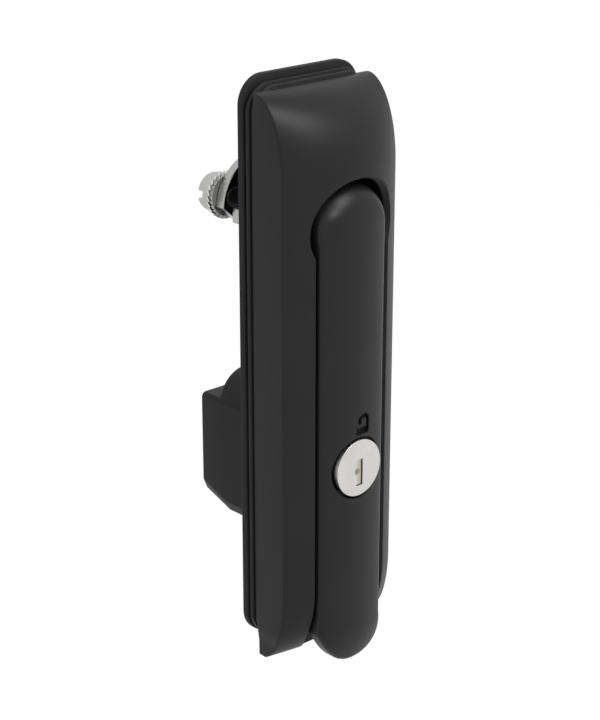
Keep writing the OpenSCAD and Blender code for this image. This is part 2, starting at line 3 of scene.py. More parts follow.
import bmesh
import bpy
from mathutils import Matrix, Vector


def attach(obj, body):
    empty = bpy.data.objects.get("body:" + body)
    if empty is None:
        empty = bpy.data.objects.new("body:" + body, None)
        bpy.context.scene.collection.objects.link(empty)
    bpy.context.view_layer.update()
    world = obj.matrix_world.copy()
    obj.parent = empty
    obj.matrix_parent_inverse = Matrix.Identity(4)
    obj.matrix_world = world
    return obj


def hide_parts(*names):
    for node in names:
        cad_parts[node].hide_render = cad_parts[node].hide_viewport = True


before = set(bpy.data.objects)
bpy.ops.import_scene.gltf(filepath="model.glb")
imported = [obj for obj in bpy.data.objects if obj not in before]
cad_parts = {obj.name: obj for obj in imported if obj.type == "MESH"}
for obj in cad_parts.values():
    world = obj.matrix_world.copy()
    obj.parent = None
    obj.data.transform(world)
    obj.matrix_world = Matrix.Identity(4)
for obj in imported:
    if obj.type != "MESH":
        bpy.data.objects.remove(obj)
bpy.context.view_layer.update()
print("stage: frame loaded")

millimetre = 0.001  # sizes of pieces are in mm, a depth grows from the door towards the user


class Socket:
    def __init__(self, nodes, socket):
        self.nodes = nodes
        self.socket = socket

    def math(self, operation, first, second, clamp=False):
        return self.nodes.add("ShaderNodeMath", {0: first, 1: second}, operation=operation, use_clamp=clamp)

    def __add__(self, other):
        return self.math("ADD", self, other)

    def __radd__(self, other):
        return self.math("ADD", self, other)

    def __sub__(self, other):
        return self.math("SUBTRACT", self, other)

    def __rsub__(self, other):
        return self.math("SUBTRACT", other, self)

    def __mul__(self, other):
        return self.math("MULTIPLY", self, other)

    def __rmul__(self, other):
        return self.math("MULTIPLY", self, other)

    def clamped(self):
        return self.math("ADD", self, 0.0, clamp=True)


class Nodes:
    def __init__(self, tree):
        self.tree = tree

    def add(self, kind, inputs=None, output=0, stops=(), **settings):
        made = self.tree.nodes.new(kind)
        for key, value in settings.items():
            setattr(made, key, value)
        if stops:
            for element, (position, color) in zip(made.color_ramp.elements, stops):
                element.position = position
                element.color = (*color, 1)
        for key, value in (inputs or {}).items():
            if isinstance(value, Socket):
                self.tree.links.new(value.socket, made.inputs[key])
            else:
                made.inputs[key].default_value = value
        return Socket(self, made.outputs[output]) if made.outputs else None

    def backdropRays(self):
        seen, mirrored, through = (self.add("ShaderNodeLightPath", output=name) for name in (
            "Is Camera Ray", "Is Glossy Ray", "Is Transmission Ray"))
        return (seen + mirrored + through).clamped()


class Finish(Nodes):
    def __init__(self, name):
        self.material = bpy.data.materials.new(name)
        self.material.use_nodes = True
        super().__init__(self.material.node_tree)
        self.surface = self.tree.nodes["Principled BSDF"]

    def place(self):
        return self.add("ShaderNodeTexCoord", output="Object")

    def noise(self, scale, detail=2.0, roughness=0.5):
        return self.add("ShaderNodeTexNoise", {
            "Vector": self.place(), "Scale": scale, "Detail": detail, "Roughness": roughness})

    def ramp(self, value, stops):
        return self.add("ShaderNodeValToRGB", {0: value}, stops=stops)

    def fixed(self, **values):
        for key, value in values.items():
            self.surface.inputs[key.replace("_", " ")].default_value = value

    def feed(self, name, value):
        self.tree.links.new(value.socket, self.surface.inputs[name])

    def bump(self, height, strength, distance, edge):
        rounded = self.add("ShaderNodeBevel", {"Radius": edge}, samples=6)
        self.feed("Normal", self.add("ShaderNodeBump", {
            "Height": height, "Strength": strength, "Distance": distance, "Normal": rounded}))


# moulded plastic: a slow cloud in the tone, a fine spark texture in the surface
def plastic(name, tone, rough, grain, depth, edge, sheen=0.212):
    shader = Finish(name)
    shader.fixed(IOR=1.5, Specular_IOR_Level=sheen)
    cloud = shader.noise(38.0, 3.0)
    flow = shader.noise(9.0, 2.0, 0.6)
    fine = shader.noise(grain, 2.0, 0.65)
    dark = (tone * 0.86,) * 3
    light = (tone * 1.12, tone * 1.13, tone * 1.15)
    shader.feed("Base Color", shader.ramp(cloud * 0.6 + flow * 0.4, [(0.35, dark), (0.68, light)]))
    shader.feed("Roughness", (rough - 0.05 + 0.06 * cloud + 0.05 * fine).clamped())
    pits = shader.add("ShaderNodeTexVoronoi", {"Vector": shader.place(), "Scale": grain * 0.6})
    shader.bump(fine * 0.7 + pits * 0.3, depth, 0.00004, edge)
    return shader.material


def rubber(name, tone):
    shader = Finish(name)
    shader.fixed(IOR=1.47, Specular_IOR_Level=0.212)
    cloud = shader.noise(60.0, 4.0)
    shader.feed("Base Color", shader.ramp(cloud, [(0.3, (tone * 0.8,) * 3), (0.75, (tone * 1.25,) * 3)]))
    shader.feed("Roughness", 0.55 + 0.12 * cloud)
    shader.bump(shader.noise(2600.0), 0.25, 0.00005, 0.00025)
    return shader.material


def metal(name, color, rough, depth=0.15, stain=0.12, edge=0.0002):
    shader = Finish(name)
    shader.fixed(Metallic=1.0)
    grain = shader.noise(900.0, 3.0, 0.6)
    cloud = shader.noise(120.0, 4.0, 0.55)
    dark = tuple(c * (1 - stain) for c in color)
    shader.feed("Base Color", shader.ramp(cloud * 0.7 + grain * 0.3, [(0.3, dark), (0.62, color)]))
    shader.feed("Roughness", (rough - 0.08 + 0.1 * cloud + 0.08 * grain).clamped())
    shader.bump(grain, depth, 0.00003, edge)
    return shader.material


# a ring painted black as painted shade in the gap between the drive disc and the housing, except its lug, left
# of lugRoot (in metres), which keeps the bare casting's grey
def shadeRingBareLug(name, paintedShadeTone, castTone, lugRoot):
    shader = Finish(name)
    shader.fixed(Specular_IOR_Level=0.1)
    cloud = shader.noise(120.0, 4.0)
    across = shader.add("ShaderNodeSeparateXYZ", {"Vector": shader.place()}, output="X")
    lug = ((lugRoot - across) * 20000.0).clamped()
    tone = (paintedShadeTone + (castTone - paintedShadeTone) * lug) * (0.85 + 0.2 * cloud)
    shader.feed("Base Color", shader.ramp(tone, [(0.0, (0.0, 0.0, 0.0)), (1.0, (1.0, 1.0, 0.99))]))
    shader.feed("Metallic", lug)
    shader.feed("Roughness", 0.55 - 0.2 * lug + 0.05 * cloud)
    shader.bump(shader.noise(2600.0), 0.1, 0.00004, 0.0002)
    return shader.material


blackHousing = plastic("blackHousing", tone=0.010, rough=0.42, grain=2600.0, depth=0.22, edge=0.0005)
blackGrip = plastic("blackGrip", tone=0.0105, rough=0.38, grain=3000.0, depth=0.16, edge=0.0004, sheen=0.21)
# a duller, darker copy of the housing plastic for the lock case, as painted shade on its top
caseShadePlastic = plastic("caseShadePlastic", tone=0.009, rough=0.45, grain=2600.0, depth=0.20, edge=0.0004, sheen=0.158)
# a near-black plastic used as painted shade on the drive disc's face towards the door
discShadePaint = plastic("discShadePaint", tone=0.004, rough=0.55, grain=2600.0, depth=0.12, edge=0.0002, sheen=0.10)
whiteNylon = plastic("whiteNylon", tone=0.62, rough=0.42, grain=1800.0, depth=0.1, edge=0.0002, sheen=0.5)
sealRubber = rubber("sealRubber", tone=0.012)
zincPlate = metal("zincPlate", (0.43, 0.43, 0.425), rough=0.26)
dieCast = metal("dieCast", (0.56, 0.56, 0.55), rough=0.42, stain=0.2)
bronze = metal("bronze", (0.60, 0.45, 0.25), rough=0.40)
brass = metal("brass", (0.70, 0.55, 0.30), rough=0.30)
zincScrew = metal("zincScrew", (0.48, 0.48, 0.475), rough=0.30)
# a brighter steel for the washer teeth only, as painted highlight
toothHighlightSteel = metal("toothHighlightSteel", (0.74, 0.74, 0.73), rough=0.26)
# a dark metal for the pin beside the keyhole, as painted shade of the dimple there
pinShadeMetal = metal("pinShadeMetal", (0.32, 0.31, 0.28), rough=0.5, depth=0.05)
shutterMetal = metal("shutterMetal", (0.58, 0.545, 0.475), rough=0.42, depth=0.05)
satinNickel = metal("satinNickel", (0.69, 0.68, 0.67), rough=0.32, depth=0.08, edge=0.0001)
burnished = metal("burnished", (0.06, 0.06, 0.065), rough=0.38)
# the stop ring's black is painted shade in the gap behind the drive disc; its lug keeps the cast grey
stopShadeAndCast = shadeRingBareLug("stopShadeAndCast", paintedShadeTone=0.004, castTone=0.5, lugRoot=-0.0093)

nodeMaterials = {
    "housing": blackHousing, "lock_case": caseShadePlastic, "handle": blackGrip, "seal": sealRubber,
    "handle_buffer": sealRubber, "spindle_o_ring": sealRubber, "barrel_o_ring": sealRubber,
    "threaded_inserts": brass, "lock_wafers": brass, "spindle_bush": bronze,
    "thrust_washer": whiteNylon, "stop_ring": stopShadeAndCast, "spindle": dieCast, "lock_barrel": dieCast,
    "case_screws": zincPlate, "keeper_plate": zincPlate, "drive_disc": zincPlate,
    "disc_screw": zincPlate, "rod_screws": zincPlate, "serrated_washers": zincPlate,
    "pivot_pin": zincPlate, "barrel_screw": burnished, "lock_plug": satinNickel,
    "lock_tongue": zincPlate, "tongue_washer": zincPlate, "tongue_screw": zincPlate,
}
for nodeName, nodeMaterial in nodeMaterials.items():
    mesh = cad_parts[nodeName].data
    mesh.materials.clear()
    mesh.materials.append(nodeMaterial)
print("stage: materials")


def newObject(name, verts, faces, material):
    mesh = bpy.data.meshes.new(name)
    mesh.from_pydata([tuple(c * millimetre for c in v) for v in verts], [], faces)
    made = bpy.data.objects.new(name, mesh)
    bpy.context.scene.collection.objects.link(made)
    bm = bmesh.new()
    bm.from_mesh(mesh)
    bmesh.ops.remove_doubles(bm, verts=bm.verts, dist=2e-6)
    bmesh.ops.recalc_face_normals(bm, faces=bm.faces)
    bm.to_mesh(mesh)
    bm.free()
    if material:
        mesh.materials.append(material)
    return made


# a closed skin through rings of as many points each
def loft(rings, name="tool", material=None):
    count = len(rings[0])
    total = count * len(rings)
    faces = [tuple(range(count)), tuple(range(total - 1, total - count - 1, -1))]
    for low in range(0, total - count, count):
        high = low + count
        faces += [(low + i, high + i, high + (i + 1) % count, low + (i + 1) % count) for i in range(count)]
    return newObject(name, sum(rings, []), faces, material)


def stack(levels, name="tool", material=None):
    return loft([[(x, -depth, z) for x, z in outline] for depth, outline in levels], name, material)


def prism(outline, depthA, depthB):
    return stack([(depthA, outline), (depthB, outline)])


def block(x0, x1, depthA, depthB, z0, z1):
    return prism([(x0, z0), (x1, z0), (x1, z1), (x0, z1)], depthA, depthB)


# a tool that runs across the latch, from an outline of heights and depths
def crossTool(outline, reach=30.0):
    return loft([[(x, -depth, z) for z, depth in outline] for x in (-reach, reach)])


def lathe(profile, x, z, count, name, material):
    return stack([(depth, circle(max(radius, 1e-4), x, z, count)) for radius, depth in profile], name, material)


def smooth(made, degrees):
    mesh = made.data
    mesh.polygons.foreach_set("use_smooth", [True] * len(mesh.polygons))
    mesh.set_sharp_from_angle(angle=math.radians(degrees))
    mesh.update()


def remove(made):
    mesh = made.data
    bpy.data.objects.remove(made)
    bpy.data.meshes.remove(mesh)


def combine(made, tools, operation="DIFFERENCE"):
    for tool in tools:
        modifier = made.modifiers.new("combine", "BOOLEAN")
        modifier.object = tool
        modifier.operation = operation
        modifier.solver = "EXACT"
        bpy.context.view_layer.update()
        graph = bpy.context.evaluated_depsgraph_get()
        old = made.data
        baked = bpy.data.meshes.new_from_object(made.evaluated_get(graph))
        made.modifiers.clear()
        made.data = baked
        bpy.data.meshes.remove(old)
        remove(tool)
    return made


def joined(parts):
    first, others = parts[0], parts[1:]
    bm = bmesh.new()
    for part in parts:
        bm.from_mesh(part.data)
    bm.to_mesh(first.data)
    bm.free()
    for other in others:
        remove(other)
    return first


def finished(made, body, node=None, degrees=28):
    smooth(made, degrees)
    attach(made, body)
    if node:
        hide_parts(node)
    return made


def eased(share):
    share = min(1.0, max(0.0, share))
    return share * share * (3 - 2 * share)


def circle(radius, x=0.0, z=0.0, count=96, start=0.0, sweep=360.0):
    last = count if sweep < 360 else count - 1
    return [(x + radius * math.cos(math.radians(start + sweep * i / count)),
             z + radius * math.sin(math.radians(start + sweep * i / count))) for i in range(last + 1)]


def roundedBox(half, top, bottom, radius, steps=10):
    points = []
    for cx, cz, start in ((half - radius, top - radius, 0), (-half + radius, top - radius, 90),
                          (-half + radius, bottom + radius, 180), (half - radius, bottom + radius, 270)):
        points += circle(radius, cx, cz, steps, start, 90)
    return points


def roundedPolygon(corners, steps):
    points = []
    count = len(corners)
    for i, (x, z, radius) in enumerate(corners):
        here = Vector((x, z))
        before = (Vector(corners[i - 1][:2]) - here).normalized()
        after = (Vector(corners[(i + 1) % count][:2]) - here).normalized()
        half = before.angle(after) / 2
        reach = radius / math.tan(half)
        centre = here + (before + after).normalized() * (radius / math.sin(half))
        start, end = here + before * reach - centre, here + after * reach - centre
        turn = math.atan2(start.x * end.y - start.y * end.x, start.dot(end))
        for k in range(steps + 1):
            a = turn * k / steps
            points.append((centre.x + start.x * math.cos(a) - start.y * math.sin(a),
                           centre.y + start.x * math.sin(a) + start.y * math.cos(a)))
    return points


housingValues = {
    "half": 22.5, "top": 39.8, "bottom": -136.6, "topRoll": 24.8, "bottomRoll": 24.6, "bottomTurn": 76.1,
    "topTurn": 88.0, "sideDepth": 18.6, "crownRadius": 38.0, "edgeRadius": 1.2, "flangeDepth": 6.6,
    "floorDepth": 8.0, "backInset": 0.25, "backOverlap": 0.3,
    "channelHalf": 14.0, "channelShift": 0.2, "channelEnd": -126.6, "pocketHalf": 15.6, "pocketUp": 14.8,
    "sill": 11.3, "sillStart": -117.0, "sillEnd": -124.0, "sillBelowFloor": 0.5,
    "leftChamfer": 0.3, "rightChamfer": 1.4, "steepness": 1.05, "leastWall": 0.2, "chamferExtra": 0.6,
    "narrowing": 0.6, "narrowStart": -126.5, "narrowLength": 6.5,
    "hubRadius": 11.0, "hubBack": -11.2,
    "clearFront": 60.0, "clearSide": 40.0, "clearEnd": -160.0,  # how far tools reach past the housing
}


def crownCentre(v):
    return v["sideDepth"] - math.sqrt(v["crownRadius"] ** 2 - v["half"] ** 2)


def crownPoint(v, x):
    return crownCentre(v) + math.sqrt(v["crownRadius"] ** 2 - x * x)


def bottomReach(v):
    return v["bottomRoll"] / math.sin(math.radians(v["bottomTurn"]))


def housingSection(v):
    centre = crownCentre(v)
    radius = v["edgeRadius"]
    inner = v["half"] - radius
    bend = centre + math.sqrt((v["crownRadius"] - radius) ** 2 - inner ** 2)
    turn = math.degrees(math.atan2(bend - centre, inner))
    angles = [math.radians(turn * i / 8) for i in range(9)]
    right = [(inner + radius * math.cos(a), bend + radius * math.sin(a)) for a in angles]
    start = right[-1][0]
    middle = [(start * (1 - 2 * i / 56), crownPoint(v, start * (1 - 2 * i / 56))) for i in range(1, 56)]
    return right + middle + [(-x, d) for x, d in reversed(right)]


def housingLevels(v):
    bottomStart = v["bottom"] + v["bottomRoll"]
    topStart = v["top"] - v["topRoll"]
    lowAngles = [math.radians(v["bottomTurn"] * i / 40) for i in range(40, -1, -1)]
    highAngles = [math.radians(v["topTurn"] * i / 44) for i in range(45)]
    span = math.sin(math.radians(v["topTurn"]))
    low = [(bottomStart - bottomReach(v) * math.sin(a), math.cos(a)) for a in lowAngles]
    high = [(topStart + v["topRoll"] * math.sin(a) / span, math.cos(a)) for a in highAngles]
    return low + high


# how much of the crown is left at a height, because it rolls off at both ends
def rollShare(v, z):
    below = (v["bottom"] + v["bottomRoll"] - z) / bottomReach(v)
    above = (z - v["top"] + v["topRoll"]) / v["topRoll"] * math.sin(math.radians(v["topTurn"]))
    if below > 0:
        return math.cos(math.radians(min(v["bottomTurn"], math.degrees(math.asin(min(below, 1.0))))))
    return math.sqrt(max(0.0, 1 - min(above, 1.0) ** 2)) if above > 0 else 1.0


def surfaceDepth(v, x, z):
    return v["flangeDepth"] + (crownPoint(v, min(abs(x), v["half"])) - v["flangeDepth"]) * rollShare(v, z)


def narrowShare(v, z):
    return 1 - v["narrowing"] / v["half"] * eased((v["narrowStart"] - z) / v["narrowLength"])


def makeDishedFront(v):
    section = housingSection(v)
    back = v["flangeDepth"] - v["backOverlap"]
    base = v["half"] - v["backInset"]
    rings = []
    for z, share in housingLevels(v):
        wide = narrowShare(v, z)
        ring = [(base * wide, -back, z)]
        ring += [(x * wide, -(v["flangeDepth"] + (d - v["flangeDepth"]) * share), z) for x, d in section]
        ring.append((-base * wide, -back, z))
        rings.append(ring)
    return loft(rings, "housingShell", blackHousing)


# the steps give a depth, then how far the side, the top and the bottom stand back there
flangeValues = {
    "half": 22.8, "top": 43.6, "bottom": -132.1, "radius": 8.6, "cornerSteps": 14,
    "steps": [
        (2.4, 1.5, 2.8, 0.8), (2.75, 1.5, 2.8, 0.8), (2.75, 0.95, 2.35, 0.75), (2.85, 0.68, 2.2, 0.55),
        (3.05, 0.52, 2.1, 0.45), (3.55, 0.48, 2.05, 0.42), (4.0, 0.52, 2.1, 0.45), (4.25, 0.68, 2.2, 0.55),
        (4.38, 0.95, 2.4, 0.75), (4.4, 1.5, 2.9, 0.9), (4.8, 1.5, 2.9, 0.9), (4.82, 1.2, 2.85, 0.6),
        (4.95, 1.05, 2.8, 0.45), (6.35, 1.0, 2.8, 0.4), (6.55, 1.1, 2.9, 0.5), (6.6, 1.35, 3.1, 0.7)],
}


def makeFlange(v):
    levels = [(depth, roundedBox(v["half"] - side, v["top"] - up, v["bottom"] + low, v["radius"] - side,
                                 v["cornerSteps"])) for depth, side, up, low in v["steps"]]
    return stack(levels, "flange", blackHousing)


# points round the mouth of the channel, each with the direction that leads away from it
def channelOutline(v):
    half, wide, tall, end = v["channelHalf"], v["pocketHalf"], v["pocketUp"], v["channelEnd"]
    meet = math.degrees(math.acos(half / wide))
    step = -tall * math.sin(math.radians(meet))
    right = [((half, end + (step - end) * i / 60), (1.0, 0.0)) for i in range(60)]
    arc = []
    for i in range(121):
        angle = math.radians(-meet + (180 + 2 * meet) * i / 120)
        c, s = math.cos(angle), math.sin(angle)
        length = math.hypot(c / wide, s / tall)
        arc.append(((wide * c, tall * s), (c / wide / length, s / tall / length)))
    corner = Vector(arc[0][1]) + Vector((1.0, 0.0))
    corner = corner / (corner.length_squared / 2)
    arc[0] = (arc[0][0], tuple(corner))
    arc[-1] = (arc[-1][0], (-corner.x, corner.y))
    left = [((-x, z), (-1.0, 0.0)) for (x, z), _ in reversed(right)]
    turn = [math.radians(180 + 180 * i / 48) for i in range(1, 48)]
    low = [((half * math.cos(a), end + half * math.sin(a)), (math.cos(a), math.sin(a))) for a in turn]
    return [((x + v["channelShift"], z), away) for (x, z), away in right + arc + left + low]


def channelTool(v):
    floor, rise = v["floorDepth"], v["steepness"]
    levels = [[], [], [], []]
    for (x, z), (nx, nz) in channelOutline(v):
        wide = v["leftChamfer"] + (v["rightChamfer"] - v["leftChamfer"]) * eased((nx + 0.1) / 0.9)
        brim = surfaceDepth(v, x + nx * wide, z + nz * wide)
        past = wide + v["chamferExtra"]
        levels[0].append((x, -floor, z))
        levels[1].append((x, -max(brim - rise * wide, floor + v["leastWall"]), z))
        levels[2].append((x + nx * past, -(brim + rise * v["chamferExtra"]), z + nz * past))
        levels[3].append((x + nx * past, -v["clearFront"], z + nz * past))
    tool = loft(levels)
    ramp = [(v["sillStart"], floor - v["sillBelowFloor"]), (v["sillEnd"], v["sill"]),
            (v["clearEnd"], v["sill"]), (v["clearEnd"], 0.0), (v["sillStart"], 0.0)]
    return combine(tool, [crossTool(ramp, v["clearSide"])])


backValues = {
    "start": -1.0, "boreRadius": 9.57, "boreBack": -12.0, "boreDepth": 9.0,
    "lockHalf": 10.7, "lockBottom": -90.1, "lockTop": -56.7, "lockDepth": 9.0,
    "frameHalf": 17.1, "frameBottom": -93.5, "frameTop": -53.3, "frameDepth": 6.6,
    "insertRadius": 2.57, "insertX": 17.6, "insertZ": (27.0, -115.0), "insertDepth": 10.4,
    "screwRadius": 1.52, "screwX": 10.0, "screwZ": (-50.4, -103.4), "screwDepth": 7.6,
    "webHalf": 0.7, "ribStart": -46.0, "ribPitch": 16.0, "ribCount": 6, "ribWidth": 1.4, "leastCell": 0.5,
    "sideInner": 16.2, "sideOuter": 19.8, "sideDepth": 15.6, "sideTop": 22.65, "cellHalf": 12.0,
    "lowBottom": -44.6, "lowTop": -12.8, "lowDepth": 6.2, "highBottom": 16.6, "highTop": 32.8,
    "highDepth": 12.6, "footBottom": -127.1, "footTop": -109.2,
}


def cells(v, halves, depth, z0, z1):
    ribs = [v["ribStart"] + v["ribPitch"] * i for i in range(v["ribCount"])]
    found = []
    for rib, nextRib in zip(ribs, ribs[1:]):
        low, high = max(rib + v["ribWidth"], z0), min(nextRib, z1)
        if high - low > v["leastCell"]:
            found += [block(x0, x1, v["start"], depth, low, high) for x0, x1 in halves]
    return found


def backTools(v):
    start, web, half = v["start"], v["webHalf"], v["cellHalf"]
    rooms = [prism(circle(v["boreRadius"]), v["boreBack"], v["boreDepth"]),
             block(-v["lockHalf"], v["lockHalf"], start, v["lockDepth"], v["lockBottom"], v["lockTop"]),
             block(-v["frameHalf"], v["frameHalf"], start, v["frameDepth"], v["frameBottom"], v["frameTop"])]
    holes = [prism(circle(v["insertRadius"], x, z, 40), start, v["insertDepth"])
             for z in v["insertZ"] for x in (-v["insertX"], v["insertX"])]
    holes += [prism(circle(v["screwRadius"], x, z, 24), start, v["screwDepth"])
              for z in v["screwZ"] for x in (-v["screwX"], v["screwX"])]
    for side in ((-v["sideOuter"], -v["sideInner"]), (v["sideInner"], v["sideOuter"])):
        holes += cells(v, [side], v["sideDepth"], v["lowBottom"], v["sideTop"])
    halves = [(-half, -web), (web, half)]
    holes += cells(v, halves, v["lowDepth"], v["lowBottom"], v["lowTop"])
    holes += cells(v, halves, v["highDepth"], v["highBottom"], v["highTop"])
    holes += [block(x0, x1, start, v["lowDepth"], v["footBottom"], v["footTop"]) for x0, x1 in halves]
    return rooms, holes


def makeHousing(v):
    front = makeDishedFront(v)
    hub = prism(circle(v["hubRadius"]), v["hubBack"], v["flangeDepth"])
    combine(front, [makeFlange(flangeValues), hub], "UNION")
    rooms, holes = backTools(backValues)
    combine(front, [channelTool(v), *rooms, joined(holes)])
    return finished(front, "housing_body", "housing")


makeHousing(housingValues)
print("stage: housing")


handleValues = {
    "half": 13.0, "headRadius": 13.5, "headRight": 13.2, "headLength": 14.0, "headBlend": -6.0,
    "edge": 3.4, "leftEdge": 2.4, "headEdge": 6.5, "headEdgeFade": 135.0,
    "front": 27.3, "crownRadius": 32.0, "back": 10.1, "backChamfer": 0.5,
    "tipZ": -126.4, "tipEdge": 2.0, "tipShift": 1.1, "squareLeft": 1.6, "squareRight": 2.6,
    "scoopStart": -117.0, "scoopReach": 16.0, "scoopDepth": 10.4, "scoopEnd": -150.0, "scoopFall": 0.8,
    "pivotDepth": 17.0, "pivotRadius": 2.55,
    "swing": 38.0, "swingSteps": 5, "floorBelowPivot": 9.8, "floorGap": 0.3,
    "frontWall": 3.3, "hollowHalf": 10.2, "hollowBottom": -113.0, "hollowTop": -16.0,
    "ribStart": -22.0, "ribPitch": 14.0, "ribCount": 8, "ribHalf": 0.8, "lockWall": 10.9,
    "slotHalf": 5.3, "slotBottom": -13.0, "slotTop": 6.0, "slotHeadFrom": 5.9, "slotHeadTop": 10.5,
    "slotHeadDepth": 22.4, "lockZ": -73.4, "barrelRadius": 8.02, "faceRadius": 9.75, "faceFloor": 24.6,
}


# half a section of the grip, as reach from the middle and depth
def handleProfile(v, half, edge):
    centre = v["front"] - v["crownRadius"]
    back = v["back"]
    bend = centre + math.sqrt((v["crownRadius"] - edge) ** 2 - (half - edge) ** 2)
    turn = math.atan2(bend - centre, half - edge)
    points = [(half - v["backChamfer"], back), (half, back + v["backChamfer"]),
              (half, back + (bend - back) * 0.4), (half, bend - 2.4), (half, bend - 1.2)]
    points += [(half - edge + edge * math.cos(turn * i / 12), bend + edge * math.sin(turn * i / 12))
               for i in range(13)]
    reaches = [points[-1][0] * (1 - i / 14) for i in range(1, 15)]
    return points + [(reach, centre + math.sqrt(v["crownRadius"] ** 2 - reach ** 2)) for reach in reaches]


# height, direction, reach and edge radius of each section round the grip
def handleStations(v):
    def between(left, right, c):
        return left + (right - left) * (0.5 + 0.5 * c)

    def sideEdge(c):
        return between(v["leftEdge"], v["edge"], c)

    def headEdge(angle):
        late = (math.degrees(angle) - v["headEdgeFade"]) / (180 - v["headEdgeFade"])
        return sideEdge(math.cos(angle)) + v["headEdge"] * math.sin(0.75 * angle) ** 2 * (1 - eased(late))

    def width(z, side):
        if side > 0:
            return v["headRight"] + (v["half"] - v["headRight"]) * eased(-z / v["headLength"])
        return max(v["half"], math.sqrt(max(v["headRadius"] ** 2 - z * z, 0)) if z > v["headBlend"] else 0)

    heights = [-0.8, -1.6, -2.4, -3.2, -3.9, -4.4, -4.6, -4.9, -6.0, -9.0]
    heights += [z for z in (-15.0 - 5.0 * i for i in range(23)) if z > v["tipZ"] + 1] + [v["tipZ"]]
    stations = []
    for i in range(49):
        angle = math.radians(180 - 180 * i / 48)
        c, n = math.cos(angle), math.sin(angle)
        stations.append((0.0, (c, n), between(v["headRadius"], v["headRight"], c), headEdge(angle)))
    stations += [(z, (1.0, 0.0), width(z, 1), sideEdge(1.0)) for z in heights]
    for i in range(1, 48):
        angle = math.radians(-180 * i / 48)
        c, n = math.cos(angle), math.sin(angle)
        power = between(v["squareLeft"], v["squareRight"], c)
        reach = v["half"] * (abs(c) ** power + abs(n) ** power) ** (-1 / power)
        stations.append((v["tipZ"], (c, n), reach, sideEdge(c) + (v["tipEdge"] - sideEdge(c)) * abs(n)))
    stations += [(z, (-1.0, 0.0), width(z, -1), sideEdge(-1.0)) for z in reversed(heights)]
    return stations


def makeHandleBody(v):
    verts, faces = [], []
    stations = handleStations(v)
    for z, direction, half, edge in stations:
        profile = handleProfile(v, half, edge)
        shift = v["tipShift"] * max(0.0, -direction[1])
        verts += [(direction[0] * r + shift, -d, z + direction[1] * r) for r, d in profile]
    count, total = len(profile), len(stations)
    for s in range(total):
        a, b = s * count, ((s + 1) % total) * count
        faces += [(a + i, b + i, b + i + 1, a + i + 1) for i in range(count - 1)]
    faces.append(tuple(s * count for s in range(total)))
    return newObject("handleGrip", verts, faces, blackGrip)


# an open padlock, a plain sign for unlocked, sunk into the grip's face
padlockValues = {
    "x": 1.45, "z": -60.75, "sink": 1.7, "clearFront": 30.0,
    "body": [(-2.7, -2.1), (2.75, -2.1), (2.75, 0.2), (-2.7, 0.2)],
    "arcX": 0.45, "arcZ": 1.95, "outerRadius": 2.35, "innerRadius": 1.05,
    "rightFoot": [(2.8, 0.1)], "openEnd": [(-1.9, 1.2), (-0.6, 1.2)], "innerFoot": [(1.5, 0.1)],
}


def padlockTool(v, front):
    outer = circle(v["outerRadius"], v["arcX"], v["arcZ"], 24, 0, 180)
    inner = circle(v["innerRadius"], v["arcX"], v["arcZ"], 24, 0, 180)
    shackle = v["rightFoot"] + outer + v["openEnd"] + inner[::-1] + v["innerFoot"]
    body, bow = (prism([(v["x"] + a, v["z"] + b) for a, b in outline], v["clearFront"], front - v["sink"])
                 for outline in (v["body"], shackle))
    return combine(body, [bow], "UNION")


def fingerScoop(v):
    start, base, rise = v["scoopStart"], v["back"] - 0.5, v["scoopDepth"] + 0.5
    angles = [math.radians(6 * i) for i in range(16)]
    curve = [(start - v["scoopReach"] * (1 - math.cos(a)), base + rise * math.sin(a)) for a in angles]
    end = [(v["scoopEnd"], curve[-1][1] + v["scoopFall"]), (v["scoopEnd"], 0.0)]
    return crossTool([(start, 0.0)] + curve + end)


# what the housing's floor takes from the head's back as the grip swings out
def reliefs(v):
    limit = v["pivotDepth"] - v["floorBelowPivot"] - v["floorGap"]
    far = 40.0
    corners = ((limit, 0), (limit + far, 0), (limit + far, far), (limit, far))
    tools = []
    for i in range(1, v["swingSteps"] + 1):
        angle = math.radians(v["swing"] * i / v["swingSteps"])
        c, s = math.cos(angle), math.sin(angle)
        tools.append(crossTool([(a * s + b * c, v["pivotDepth"] - a * c + b * s) for a, b in corners]))
    return tools


def handleHollow(v, inside):
    far = 30.0
    hollow = block(-v["hollowHalf"], v["hollowHalf"], 0.0, inside, v["hollowBottom"], v["hollowTop"])
    heights = [v["ribStart"] - v["ribPitch"] * i for i in range(v["ribCount"])]
    combine(hollow, [block(-far, far, -5.0, 40.0, z - v["ribHalf"], z + v["ribHalf"]) for z in heights])
    return combine(hollow, [prism(circle(v["lockWall"], 0, v["lockZ"]), -5.0, 40.0)])


def makeHandle(v):
    grip = makeHandleBody(v)
    inside = v["front"] - v["frontWall"]
    pivot = [(b, v["pivotDepth"] - a) for a, b in circle(v["pivotRadius"], count=40)]
    half = v["slotHalf"]
    combine(grip, [
        handleHollow(v, inside), block(-half, half, 0.0, inside, v["slotBottom"], v["slotTop"]),
        block(-half, half, 0.0, v["slotHeadDepth"], v["slotHeadFrom"], v["slotHeadTop"]),
        *reliefs(v), fingerScoop(v), prism(circle(v["barrelRadius"], 0, v["lockZ"]), 0.0, 40.0),
        prism(circle(v["faceRadius"], 0, v["lockZ"], 128), v["faceFloor"], 40.0), crossTool(pivot),
        padlockTool(padlockValues, v["front"])])
    return finished(grip, "handle_body", "handle")


makeHandle(handleValues)
print("stage: handle")


# the steps give a depth and how far the rim stands back there
sealValues = {
    "half": 22.8, "top": 43.6, "bottom": -132.1, "radius": 8.6, "rim": 3.4, "cornerSteps": 14,
    "steps": [
        (0.0, 0.4), (0.1, 0.16), (0.3, 0.02), (0.45, 0.0), (2.0, 0.0), (2.2, 0.05), (2.33, 0.18), (2.4, 0.45)],
    "padRadius": 5.15, "holeRadius": 2.75, "holeX": 17.6, "holeTop": 27.0, "holeBottom": -115.0,
}


